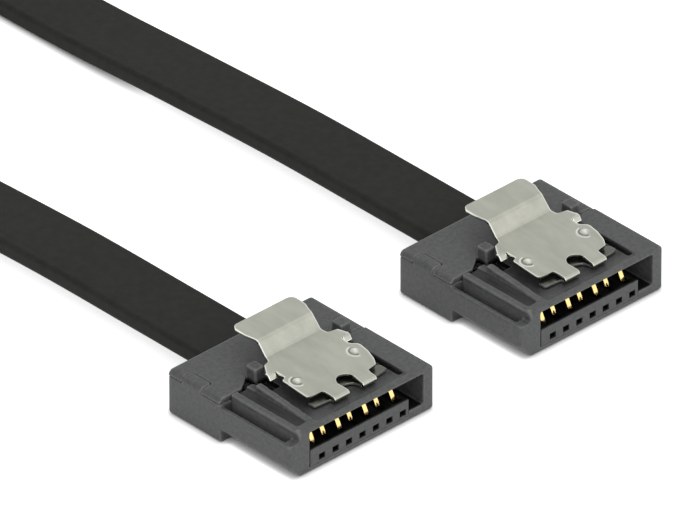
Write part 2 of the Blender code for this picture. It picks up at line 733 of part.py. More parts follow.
def make_latch(tag, centre_x, parts, cutters, finish):
    """The latch, whose origin is on its fold, and the fixed leaf below it."""
    fold = Vector((LATCH_CENTRE, LATCH_FRONT + SHEET / 2 + FOLD_RADIUS, BED + LEAF_RISE + SHEET / 2 + FOLD_RADIUS))
    mesh = latch_mesh()
    for vert in mesh.vertices:
        vert.co -= Vector((0.0, fold.y, fold.z))
    latch = new_object(f"latch_{tag}", mesh, parts, finish)
    latch.location = (centre_x + fold.x, fold.y - PLUG_LENGTH / 2, fold.z)
    barbs = new_object(f"add_barbs_{tag}", barb_mesh(), cutters)
    place(barbs, centre_x + LATCH_CENTRE)
    cut(latch, barbs, "UNION")
    leaf = new_object(f"latch_leaf_{tag}", leaf_mesh(), parts, finish)
    place(leaf, centre_x + LATCH_CENTRE)


def make_inside(tag, centre_x, parts, finishes):
    """Contacts, the comb that carries the wires, and the wires."""
    blades = [contact_mesh(False), contact_mesh(True)]
    for index in range(CONTACT_COUNT):
        blade = new_object(f"contact_{tag}_{index + 1}", blades[index % 2].copy(), parts, finishes["contact"])
        place(blade, centre_x + contact_x(index))
    comb_half = contact_x(CONTACT_COUNT - 1) + CORE_DIAMETER
    comb_top = GROOVE_FLOOR + CONTACT_THICK + FIT
    comb = ((-comb_half, COMB_FRONT, TRAY_FLOOR + FIT), (comb_half, COMB_FRONT + COMB_LENGTH, comb_top))
    place(new_object(f"wire_comb_{tag}", box_mesh("comb", [comb]), parts, finishes["comb"]), centre_x)
    for index in range(CONTACT_COUNT):
        drain = index % DRAIN_STEP_COUNT == 0
        kind = "drain" if drain else "core"
        radius = (DRAIN_DIAMETER if drain else CORE_DIAMETER) / 2
        wire = tube(f"{kind}_{tag}_{index + 1}", wire_points(index, radius), radius, parts, finishes[kind])
        place(wire, centre_x)


def main():
    """Build both plugs and the cable."""
    for old in list(bpy.data.objects):
        bpy.data.objects.remove(old, do_unlink=True)
    parts = bpy.data.collections.new("serial_data_cable")
    cutters = bpy.data.collections.new("cutters")
    for collection in (parts, cutters):
        bpy.context.scene.collection.children.link(collection)
    shell = material("plug_plastic", (0.10, 0.105, 0.11), 0.55)
    finishes = {
        "contact": material("contact_gold", (0.80, 0.55, 0.22), 0.25, 1.0),
        "comb": material("comb_plastic", (0.05, 0.05, 0.055), 0.6),
        "core": material("core_insulation", (0.75, 0.75, 0.72), 0.5),
        "drain": material("drain_tin", (0.70, 0.70, 0.72), 0.3, 1.0),
    }
    steel = material("latch_steel", (0.42, 0.42, 0.38), 0.35, 1.0)
    jacket = material("cable_jacket", (0.03, 0.031, 0.028), 0.6)
    for tag, centre_x in (("a", -PLUG_PITCH / 2), ("b", PLUG_PITCH / 2)):
        make_housing(tag, centre_x, parts, cutters, shell)
        make_block(tag, centre_x, parts, cutters, shell)
        make_cover(tag, centre_x, parts, cutters, shell)
        make_latch(tag, centre_x, parts, cutters, steel)
        make_inside(tag, centre_x, parts, finishes)
    make_cable(parts, jacket)


main()
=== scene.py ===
"""Shapes and finishes of a flat serial data cable with two latching plugs, on the packed frame."""

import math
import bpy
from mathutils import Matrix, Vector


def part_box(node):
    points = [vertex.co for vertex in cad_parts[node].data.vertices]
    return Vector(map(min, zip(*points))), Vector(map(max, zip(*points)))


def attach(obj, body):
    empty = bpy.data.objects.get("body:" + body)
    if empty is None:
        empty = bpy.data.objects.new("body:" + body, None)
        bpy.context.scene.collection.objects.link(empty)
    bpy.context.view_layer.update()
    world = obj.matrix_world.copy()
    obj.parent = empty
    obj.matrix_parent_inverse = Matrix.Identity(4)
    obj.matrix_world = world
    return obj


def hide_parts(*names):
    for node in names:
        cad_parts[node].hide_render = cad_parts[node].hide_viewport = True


bl_info = {
    "name": "Serial data cable",
    "version": (1, 0, 0),
    "blender": (4, 5, 0),
    "location": "View3D > Sidebar > Data cable",
    "description": "Moulded plugs, spring latches, contacts and the flat cable that joins the plugs",
    "category": "Object",
}

import bmesh
import bpy
import numpy as np
from mathutils import Vector

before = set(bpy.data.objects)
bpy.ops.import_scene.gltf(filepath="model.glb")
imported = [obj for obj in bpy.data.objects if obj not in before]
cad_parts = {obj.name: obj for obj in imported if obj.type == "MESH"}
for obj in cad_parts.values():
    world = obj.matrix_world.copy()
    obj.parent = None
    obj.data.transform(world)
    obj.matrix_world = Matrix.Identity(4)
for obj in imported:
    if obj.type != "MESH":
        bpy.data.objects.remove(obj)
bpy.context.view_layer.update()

MM = 0.001
TAGS = ("a", "b")
PLUG_LOW, PLUG_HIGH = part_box("housing_a")
PLUG_WIDTH = PLUG_HIGH.x - PLUG_LOW.x
COVER_TOP = PLUG_LOW.z + 3.55 * MM
CONTACT_COUNT = 7

# Slopes of the latch's plate, neck and thumb pad, and places on it: along from the plug's front
# face, across from the latch's centre line
PLATE_SLOPE = math.radians(5.0)
NECK_SLOPE = math.radians(50.0)
PAD_SLOPE = math.radians(3.0)
NECK_START = 7.6 * MM
PAD_START = 8.45 * MM
PAD_END = 10.75 * MM
PAD_CORNER = 0.52 * MM
NOTCH_END = 2.2 * MM
NOTCH_WIDENS = 1.5 * MM
NOTCH_HALF = (0.65 * MM, 0.72 * MM)
DIMPLE_ALONG = 4.2 * MM
DIMPLE_ACROSS = 2.72 * MM
BARB_ROOT = 6.2 * MM
BARB_ACROSS = (3.20 * MM, 3.86 * MM)
BARB_RADIUS = 0.16 * MM
BARB_FLAT = 0.16 * MM
BARB_REACH = 0.32 * MM
LEAF_END = 5.2 * MM
LEAF_NOTCH_END = 1.6 * MM

# Sockets of the node that mixes two colours
SHARE, FIRST_COLOUR, SECOND_COLOUR, MIXED_COLOUR = 0, 6, 7, 2
BLACK = (0.0, 0.0, 0.0)

# Half of the cable's route in metres, as in the part's source: x, y, height of the centre line and
# how far the ribbon has turned up on its edge, in degrees
HALF_ROUTE = (
    (-0.01095, 0.00530, 0.00180, 0),
    (-0.01095, 0.01400, 0.00180, 0),
    (-0.01095, 0.02400, 0.00175, 0),
    (-0.01095, 0.03500, 0.00130, 0),
    (-0.01095, 0.04600, 0.00078, 0),
    (-0.01095, 0.05700, 0.00072, 0),
    (-0.01120, 0.06600, 0.00146, 17),
    (-0.01180, 0.07500, 0.00243, 42),
    (-0.01260, 0.08400, 0.00286, 67),
    (-0.01350, 0.09300, 0.00290, 84),
    (-0.01440, 0.10300, 0.00285, 90),
    (-0.01500, 0.11400, 0.00285, 90),
    (-0.01520, 0.12400, 0.00285, 90),
    (-0.01440, 0.13400, 0.00285, 90),
    (-0.01090, 0.14180, 0.00285, 90),
    (-0.00560, 0.14620, 0.00285, 90),
)
LOOP_TOP = (0.0, 0.14760, 0.00285, 90)

# The latch's two side edges in millimetres: distance from the plug's front, half width
LATCH_LEFT = (
    (0.0, 2.03), (1.75, 2.03), (2.28, 2.10), (2.34, 2.30), (2.38, 3.28), (2.46, 3.40), (2.62, 3.46),
    (3.6, 3.48), (4.86, 3.48), (4.94, 3.42), (4.98, 3.22), (5.06, 3.10), (5.97, 3.14), (6.0, 3.84),
    (6.06, 3.86), (6.93, 3.26), (6.99, 3.18), (7.02, 2.86), (7.15, 2.70), (7.5, 2.56), (8.3, 2.56),
    (8.6, 2.60), (8.95, 2.68), (9.35, 2.78), (9.7, 2.80),
)
LATCH_RIGHT = (
    (0.0, 1.92), (1.75, 1.92), (2.13, 1.98), (2.17, 2.25), (2.20, 2.72), (2.30, 2.88), (2.80, 3.20),
    (3.70, 3.49), (4.50, 3.57), (4.72, 3.52), (4.90, 3.34), (5.06, 3.14), (5.2, 3.04), (5.97, 3.08),
    (6.0, 3.84), (6.06, 3.86), (6.78, 3.56), (6.86, 3.48), (6.90, 2.95), (7.0, 2.76), (7.1, 2.70),
    (7.5, 2.65), (8.3, 2.60), (8.6, 2.64), (8.95, 2.76), (9.35, 2.92), (9.7, 2.95),
)

# The same for both edges of the leaf
LEAF_EDGE = ((0.0, 2.02), (1.66, 2.02), (1.70, 3.20), (1.76, 3.38), (1.84, 3.43), (2.36, 3.43), (2.80, 2.8))

# A contact's side in millimetres: back from its tip and up from the ground, and for its tail back
# from the plug's front
BLADE_SIDE = ((0.0, 1.435), (0.15, 1.75), (0.37, 2.15), (0.70, 2.42), (1.15, 2.50), (1.75, 2.38))
BLADE_TAIL = ((6.4, 1.335), (9.0, 1.335))

# Parts of the housing with painted shade, in millimetres from the middle of the front lower edge: sides,
# heights, where the painted shade starts, and its shares at two places behind that
SLOT_SHADE = ((-5.68, 5.68), (0.45, 3.3), 0.0, (0.03, 0.15), (0.0, 0.97))
SHADES = (
    ((-3.85, 4.9), (2.6, 3.5), 0.5, (0.6, 1.7), (0.15, 0.70)),
    ((3.85, 4.9), (2.6, 3.5), 0.5, (1.1, 1.4), (0.0, 0.8)),
    ((-5.4, -4.35), (2.6, 3.5), 0.5, (0.6, 1.7), (0.75, 0.75)),
)


def metres(name, description, default):
    """A setting that is a length."""
    return bpy.props.FloatProperty(
        name=name, description=description, default=default, unit="LENGTH", precision=5
    )


def colour(name, description, default):
    """A setting that is a colour."""
    return bpy.props.FloatVectorProperty(
        name=name, description=description, default=default, subtype="COLOR"
    )


class CableSizes(bpy.types.PropertyGroup):
    """Sizes of the flat cable."""

    width: metres("Width", "Across the flat side", 5.6 * MM)
    thick: metres("Thickness", "Through the flat side", 1.3 * MM)
    corner: metres("Corner", "Radius of the four long corners", 0.34 * MM)
    groove: bpy.props.FloatProperty(
        name="Groove depth", description="How deep the lines beside the edges are", default=0.035 * MM,
        unit="LENGTH", precision=6,
    )
    samples: bpy.props.IntProperty(
        name="Samples", description="Rings for each stretch of the route", default=8
    )


class ShellSizes(bpy.types.PropertyGroup):
    """How the moulded plug bodies and covers are finished."""

    grain: metres("Mesh size", "Size of the squares of the moulded surface", 0.095 * MM)
    softness: bpy.props.IntProperty(
        name="Softness", description="Passes that round the moulded edges", default=2
    )
    rounding: metres("Cover rounding", "Radius of the cover's top edges", 0.42 * MM)
    sharp: bpy.props.FloatProperty(
        name="Back edge", description="How many times sharper the cover's back edge is", default=2.8
    )


class LatchSizes(bpy.types.PropertyGroup):
    """Sizes of the spring latch, measured from the plug's front face."""

    centre: metres("Centre line", "Right of the plug's middle", 0.60 * MM)
    sheet: metres("Sheet", "Thickness of the spring steel", 0.18 * MM)
    front: metres("Front", "Where the fold starts", 1.15 * MM)
    fold: metres("Fold radius", "Radius of the fold's middle line", 0.165 * MM)
    bend: metres("Bend radius", "Radius of the two bends of the neck", 0.42 * MM)
    dimple: metres("Dimple radius", "Of the two round bumps", 0.47 * MM)
    dimple_rise: metres("Dimple rise", "How far each bump stands up", 0.2 * MM)
    barb_drop: bpy.props.FloatProperty(
        name="Barb slope", description="How far the barbs turn down", default=math.radians(50.0),
        subtype="ANGLE",
    )


class Finishes(bpy.types.PropertyGroup):
    """Colours of the finishes, as linear values."""

    plastic: colour("Plastic", "Moulded plug bodies and covers", (0.074, 0.077, 0.074))
    plastic_shade: colour("Plastic mottle", "Darker patches of the plastic", (0.046, 0.049, 0.050))
    jacket: colour("Jacket", "Cable jacket", (0.0165, 0.0168, 0.0148))
    steel: colour("Steel", "Latch and its leaf", (0.43, 0.435, 0.375))
    gold: colour("Gold", "Plated contacts", (0.95, 0.68, 0.28))
    comb: colour("Comb", "Combs that carry the wires", (0.05, 0.05, 0.055))
    insulation: colour("Insulation", "Signal wires", (0.72, 0.71, 0.67))
    tin: colour("Tin", "Bare drain wires", (0.66, 0.66, 0.66))


class StageSettings(bpy.types.PropertyGroup):
    """Camera and light."""

    azimuth: bpy.props.FloatProperty(
        name="Azimuth", description="Turn of the view, from the front", default=math.radians(-43.4),
        subtype="ANGLE",
    )
    elevation: bpy.props.FloatProperty(
        name="Elevation", description="Height of the view", default=math.radians(33.0), subtype="ANGLE"
    )
    aim: bpy.props.FloatVectorProperty(
        name="Aim", description="The point in the middle of the picture", subtype="TRANSLATION",
        default=(4.1 * MM, 11.0 * MM, 0.0), precision=5,
    )
    across: metres("View width", "Width of the picture at the aim", 48.6 * MM)
    lens: bpy.props.FloatProperty(name="Lens", description="Focal length in millimetres", default=1200.0)
    key: bpy.props.FloatProperty(name="Key light", description="Strength of the lamps", default=1.0)
    fill: bpy.props.FloatProperty(name="Sky light", description="Strength of the even light", default=0.82)


def tint(nodes, links, coords, scale, low, high, detail=4.0, roughness=0.6, spread=(0.35, 0.65)):
    """A colour that wanders between low and high with noise of so many waves a metre."""
    noise = nodes.new("ShaderNodeTexNoise")
    noise.inputs["Scale"].default_value = scale
    noise.inputs["Detail"].default_value = detail
    noise.inputs["Roughness"].default_value = roughness
    links.new(coords, noise.inputs["Vector"])
    ramp = nodes.new("ShaderNodeValToRGB")
    ramp.color_ramp.elements[0].position = spread[0]
    ramp.color_ramp.elements[0].color = (*low, 1.0)
    ramp.color_ramp.elements[1].position = spread[1]
    ramp.color_ramp.elements[1].color = (*high, 1.0)
    links.new(noise.outputs["Fac"], ramp.inputs["Fac"])
    return noise, ramp


def stored_share(nodes, name):
    """The number of that name that a piece stores for each of its points."""
    stored = nodes.new("ShaderNodeAttribute")
    stored.attribute_name = name
    return stored.outputs["Fac"]


def mixed(nodes, links, share, first, second):
    """The first colour, which is linked, turned to the second, which is constant, by the share."""
    mix = nodes.new("ShaderNodeMix")
    mix.data_type = "RGBA"
    mix.inputs[SECOND_COLOUR].default_value = (*second, 1.0)
    links.new(share, mix.inputs[SHARE])
    links.new(first, mix.inputs[FIRST_COLOUR])
    return mix.outputs[MIXED_COLOUR]


def black_share(nodes, links, place, fade):
    """How much painted shade darkens a point, from 0 to 1: stored on the piece, or growing along y.

    The fade is the y where it starts, the y where it ends and the share there.
    """
    if fade is None:
        return stored_share(nodes, "dark")
    parts = nodes.new("ShaderNodeSeparateXYZ")
    links.new(place, parts.inputs["Vector"])
    depth = nodes.new("ShaderNodeMapRange")
    depth.inputs["From Min"].default_value = fade[0]
    depth.inputs["From Max"].default_value = fade[1]
    depth.inputs["To Max"].default_value = fade[2]
    links.new(parts.outputs["Y"], depth.inputs["Value"])
    return depth.outputs["Result"]


def finish(name, low, high, scale, roughness, metallic=0.0, rough_spread=0.08, bump=0.0,
           bump_scale=None, stretch=(1.0, 1.0, 1.0), specular=0.5, fade=None, painted_light=None):
    """A procedural finish: colour and roughness wander with noise, and a finer noise lifts the surface.

    The colour turns to black by the share of painted shade that black_share gives, and to the
    painted light colour by the share that the piece stores for its edges, as a painted highlight.
    """
    made = bpy.data.materials.new(name)
    made.use_nodes = True
    nodes, links = made.node_tree.nodes, made.node_tree.links
    shader = nodes["Principled BSDF"]
    shader.inputs["Metallic"].default_value = metallic
    shader.inputs["Specular IOR Level"].default_value = specular
    place = nodes.new("ShaderNodeTexCoord")
    mapping = nodes.new("ShaderNodeMapping")
    mapping.inputs["Scale"].default_value = stretch
    links.new(place.outputs["Object"], mapping.inputs["Vector"])
    noise, ramp = tint(nodes, links, mapping.outputs["Vector"], scale, low, high)
    # Painted shade: the colour turns towards black by this share
    share = black_share(nodes, links, place.outputs["Object"], fade)
    base = mixed(nodes, links, share, ramp.outputs["Color"], BLACK)
    # Painted highlight: the colour turns pale where the piece stores a share for it
    if painted_light:
        base = mixed(nodes, links, stored_share(nodes, "painted_light"), base, painted_light)
    links.new(base, shader.inputs["Base Color"])
    rough = nodes.new("ShaderNodeMapRange")
    rough.inputs["To Min"].default_value = roughness - rough_spread
    rough.inputs["To Max"].default_value = roughness + rough_spread
    links.new(noise.outputs["Fac"], rough.inputs["Value"])
    links.new(rough.outputs["Result"], shader.inputs["Roughness"])
    if bump:
        grain = nodes.new("ShaderNodeTexNoise")
        grain.inputs["Scale"].default_value = bump_scale
        grain.inputs["Detail"].default_value = 3.0
        links.new(mapping.outputs["Vector"], grain.inputs["Vector"])
        lift = nodes.new("ShaderNodeBump")
        lift.inputs["Strength"].default_value = 1.0
        lift.inputs["Distance"].default_value = bump
        links.new(grain.outputs["Fac"], lift.inputs["Height"])
        links.new(lift.outputs["Normal"], shader.inputs["Normal"])
    return made


def kept(name, make):
    """The finish of that name, made the first time it is asked for."""
    return bpy.data.materials.get(name) or make(name)


def plastic(name="moulded_plastic", fade=None):
    """Dark grey moulded plastic with a fine mottle, painted shade in its hollows and a painted highlight on
    its edges.
    """
    tones = bpy.context.scene.cable_finishes
    return kept(name, lambda made: finish(
        made, tones.plastic_shade, tones.plastic, 3600.0, 0.45, rough_spread=0.12,
        # The pale colour last is painted light: a painted highlight on the edges and in the left channel
        bump=0.014 * MM, bump_scale=8000.0, specular=0.3, fade=fade, painted_light=(0.36, 0.36, 0.34),
    ))


def steel():
    """Satin rolled spring steel with painted highlights on its cut edges."""
    tones = bpy.context.scene.cable_finishes
    dark = tuple(0.86 * c for c in tones.steel)
    return kept("satin_steel", lambda name: finish(
        name, dark, tones.steel, 900.0, 0.30, metallic=1.0, rough_spread=0.06,
        # The near white colour last is a painted highlight on the cut edges and bumps
        bump=0.004 * MM, bump_scale=5200.0, stretch=(1.0, 0.35, 1.0), painted_light=(0.95, 0.95, 0.90),
    ))


def gold():
    """Gold plating that turns black further back, a painted shade of the slot."""
    tones = bpy.context.scene.cable_finishes
    dark = tuple(0.8 * c for c in tones.gold)
    # Painted shade: the gold turns black between these two places behind the front
    fade = (PLUG_LOW.y + 1.75 * MM, PLUG_LOW.y + 2.2 * MM, 0.96)
    return kept("gold_plating", lambda name: finish(
        name, dark, tones.gold, 3000.0, 0.22, metallic=1.0, fade=fade
    ))


def jacket():
    """Smooth dark jacket with a faint mottle."""
    tones = bpy.context.scene.cable_finishes
    light = tuple(1.35 * c for c in tones.jacket)
    return kept("jacket_skin", lambda name: finish(
        name, tones.jacket, light, 1500.0, 0.5, bump=0.005 * MM, bump_scale=4200.0, specular=0.06
    ))


def grid_faces(rows, columns, keep=None, ring=False):
    """The squares of a grid of rows by columns points, as corner numbers; keep says which squares stay."""
    across = columns if ring else columns - 1
    row = np.arange(rows - 1)[:, None]
    column = np.arange(across)[None, :]
    after = (column + 1) % columns
    first, second = row * columns, (row + 1) * columns
    corners = (first + column, first + after, second + after, second + column)
    faces = np.stack([np.broadcast_to(c, (rows - 1, across)) for c in corners], axis=-1)
    if keep is None:
        return faces.reshape(-1, 4)
    return faces[keep]


def surface(name, points, faces, finish_made, smooth=True):
    """A linked object from an array of points and one of four-cornered faces, without loose points."""
    used, numbers = np.unique(faces, return_inverse=True)
    points = np.ascontiguousarray(points.reshape(-1, 3)[used], dtype=np.float32)
    corners = numbers.reshape(-1).astype(np.int32)
    mesh = bpy.data.meshes.new(name)
    mesh.vertices.add(len(points))
    mesh.vertices.foreach_set("co", points.ravel())
    mesh.loops.add(len(corners))
    mesh.loops.foreach_set("vertex_index", corners)
    count = len(corners) // 4
    mesh.polygons.add(count)
    mesh.polygons.foreach_set("loop_start", np.arange(count, dtype=np.int32) * 4)
    mesh.polygons.foreach_set("use_smooth", np.full(count, smooth))
    mesh.update(calc_edges=True)
    mesh.materials.append(finish_made)
    made = bpy.data.objects.new(name, mesh)
    bpy.context.scene.collection.objects.link(made)
    return made


def joined(name, *pieces):
    """Several objects with their modifiers settled, as one smooth object."""
    bpy.context.view_layer.update()
    graph = bpy.context.evaluated_depsgraph_get()
    whole = bmesh.new()
    for piece in pieces:
        settled = bpy.data.meshes.new_from_object(piece.evaluated_get(graph))
        whole.from_mesh(settled)
        bpy.data.meshes.remove(settled)
    mesh = bpy.data.meshes.new(name)
    whole.to_mesh(mesh)
    whole.free()
    mesh.polygons.foreach_set("use_smooth", np.full(len(mesh.polygons), True))
    mesh.materials.append(pieces[0].data.materials[0])
    for piece in pieces:
        old = piece.data
        bpy.data.objects.remove(piece)
        bpy.data.meshes.remove(old)
    made = bpy.data.objects.new(name, mesh)
    bpy.context.scene.collection.objects.link(made)
    return made


def mesh_points(mesh, kind="co"):
    """The mesh's points, or their normals, as an array."""
    values = np.empty(len(mesh.vertices) * 3, np.float32)
    mesh.vertices.foreach_get(kind, values)
    return values.reshape(-1, 3)


def store(mesh, name, values):
    """Store one number for each point of a mesh, for its finish to read."""
    layer = mesh.attributes.new(name, "FLOAT", "POINT")
    layer.data.foreach_set("value", np.asarray(values, np.float32))


def rim_points(mesh):
    """One for each point on the cut edge of a bent sheet, and nought for the others.

    A face belongs to the edge if it looks to a side, or if it looks level and lies past the fold.
    """
    count = len(mesh.polygons)
    normal = np.empty(count * 3, np.float32)
    centre = np.empty(count * 3, np.float32)
    sizes = np.empty(count, np.int32)
    corners = np.empty(len(mesh.loops), np.int32)
    mesh.polygons.foreach_get("normal", normal)
    mesh.polygons.foreach_get("center", centre)
    mesh.polygons.foreach_get("loop_total", sizes)
    mesh.loops.foreach_get("vertex_index", corners)
    normal, centre = np.abs(normal.reshape(-1, 3)), centre.reshape(-1, 3)
    past_fold = centre[:, 1] > PLUG_LOW.y + 1.55 * MM
    rim = (normal[:, 0] > 0.6) | (past_fold & (normal[:, 2] < 0.4))
    marks = np.zeros(len(mesh.vertices))
    marks[corners[np.repeat(rim, sizes)]] = 1.0
    return marks


def neighbour_mean(mesh, values):
    """The mean of each point's neighbours, for an array of one row for each point."""
    edges = np.empty(len(mesh.edges) * 2, np.int32)
    mesh.edges.foreach_get("vertices", edges)
    ends = np.concatenate([edges[0::2], edges[1::2]])
    others = np.concatenate([edges[1::2], edges[0::2]])
    count = np.bincount(ends, minlength=len(values))
    means = [np.bincount(ends, column[others], len(values)) / count for column in values.T]
    return np.stack(means, axis=-1)


def edge_shine(mesh, passes=5):
    """The painted highlight on the top of a sheet beside its cut edge, and the painted shade on the lower
    half of that edge.
    """
    rim = rim_points(mesh)
    soft = rim[:, None]
    for _ in range(passes):
        soft = 0.5 * soft + 0.5 * neighbour_mean(mesh, soft)
    upper = mesh_points(mesh, "normal")[:, 2] > 0.1
    return np.clip(4.0 * soft[:, 0] - 0.2, 0.0, 1.0) * upper, rim * ~upper


def hollow(mesh, passes):
    """How far each point lies in a hollow, in metres, and below zero on an edge.

    The points are averaged with their neighbours so many times, and the hollow is how far the
    averaged point has moved out along the normal.
    """
    points = mesh_points(mesh).astype(float)
    soft = points
    for _ in range(passes):
        soft = 0.5 * soft + 0.5 * neighbour_mean(mesh, soft)
    return ((soft - points) * mesh_points(mesh, "normal")).sum(axis=1)


def settle(made, body, material_slot, *nodes):
    """Let a piece ride on its body and stand for its nodes; its finish's slot is not used."""
    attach(made, body)
    if nodes:
        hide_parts(*nodes)


def plug_centre(tag):
    """The x of a plug's middle."""
    low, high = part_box(f"housing_{tag}")
    return (low.x + high.x) / 2


def bent_path(start, heading, stretches, step=0.02 * MM):
    """The side of a bent sheet as arrays of length, y, z and heading.

    Each stretch is (length, turn). The heading turns at an even rate along it, and y and z are the
    running sums of its cosine and sine.
    """
    lengths = [0.0]
    headings = [heading]
    for length, turn in stretches:
        count = max(2, int(math.ceil(length / step)))
        lengths.extend(lengths[-1] + np.linspace(0.0, length, count + 1)[1:])
        headings.extend(headings[-1] + np.linspace(0.0, turn, count + 1)[1:])
    lengths = np.array(lengths)
    headings = np.array(headings)
    middle = (headings[1:] + headings[:-1]) / 2
    gaps = np.diff(lengths)
    y = start[0] + np.concatenate([[0.0], np.cumsum(gaps * np.cos(middle))])
    z = start[1] + np.concatenate([[0.0], np.cumsum(gaps * np.sin(middle))])
    return lengths, y, z, headings


def length_at(path, y):
    """How far along the path it last passes this y; y may be an array."""
    lengths, across, _, _ = path
    first = int(np.argmin(across))
    return np.interp(y, across[first:], lengths[first:])


def sheet_points(path, rows, inner, outer, notch_row, fade, lift=None, side_columns=9, middle_columns=14):
    """A sheet that follows a bent path, with a notch that opens at its start and ends in a half circle.

    One parameter runs along the path and one across. Beside the notch the columns lie evenly between
    the inner half width and the outer one, which is a pair, for the left and the right edge. In the
    middle they follow the sine of an even angle times the inner half width, and their first row, past
    the notch, bulges by the cosine of that angle, a bulge that fades away over the given length.
    """
    side = np.linspace(0.0, 1.0, side_columns + 1)
    angle = np.linspace(-math.pi / 2, math.pi / 2, middle_columns + 1)
    inner = inner[:, None]
    left, right = (inner + (edge[:, None] - inner) * side[None, 1:] for edge in outer)
    x = np.concatenate([-left[:, ::-1], inner * np.sin(angle)[None, :], right], axis=1)
    s = np.repeat(rows[:, None], x.shape[1], axis=1)
    cosine = np.zeros(x.shape[1])
    cosine[side_columns:side_columns + middle_columns + 1] = np.cos(angle)
    if notch_row:
        share = np.clip(1.0 - (rows - rows[notch_row]) / fade, 0.0, 1.0)
        share[:notch_row] = 0.0
        s = s + inner[notch_row, 0] * cosine[None, :] * share[:, None]
    lengths, y, z, heading = path
    turn = np.interp(s, lengths, heading)
    rise = np.zeros_like(s) if lift is None else lift(x, s)
    points = np.stack([
        x, np.interp(s, lengths, y) - np.sin(turn) * rise, np.interp(s, lengths, z) + np.cos(turn) * rise
    ], axis=-1)
    keep = np.ones((len(rows) - 1, x.shape[1] - 1), bool)
    if notch_row:
        keep[:notch_row, side_columns:side_columns + middle_columns] = False
    return points, grid_faces(len(rows), x.shape[1], keep)


def softened(rows, places, values, soft):
    """Values at the rows: straight between the given places, then averaged over a short length."""
    offsets = np.linspace(-soft, soft, 9)
    return np.mean([np.interp(rows + offset, places, values) for offset in offsets], axis=0)


def thicken(made, thick, edge=0.035 * MM):
    """Give a sheet its thickness, half to each side, and round its edges."""
    wall = made.modifiers.new("thickness", "SOLIDIFY")
    wall.thickness = thick
    wall.offset = 0.0
    wall.use_even_offset = True
    corner = made.modifiers.new("edges", "BEVEL")
    corner.width = edge
    corner.segments = 2
    corner.limit_method = "ANGLE"
    corner.angle_limit = math.radians(50)


def seen_rays(nodes, links):
    """One for the rays of the camera, of mirrors and of glass, and nought for the others."""
    rays = nodes.new("ShaderNodeLightPath")
    glossy = nodes.new("ShaderNodeMath")
    glossy.operation = "MAXIMUM"
    links.new(rays.outputs["Is Camera Ray"], glossy.inputs[0])
    links.new(rays.outputs["Is Glossy Ray"], glossy.inputs[1])
    seen = nodes.new("ShaderNodeMath")
    seen.operation = "MAXIMUM"
    links.new(glossy.outputs[0], seen.inputs[0])
    links.new(rays.outputs["Is Transmission Ray"], seen.inputs[1])
    return seen.outputs[0]


def moved(points, x, y, z):
    """Points carried to a place."""
    return points + np.array([x, y, z])


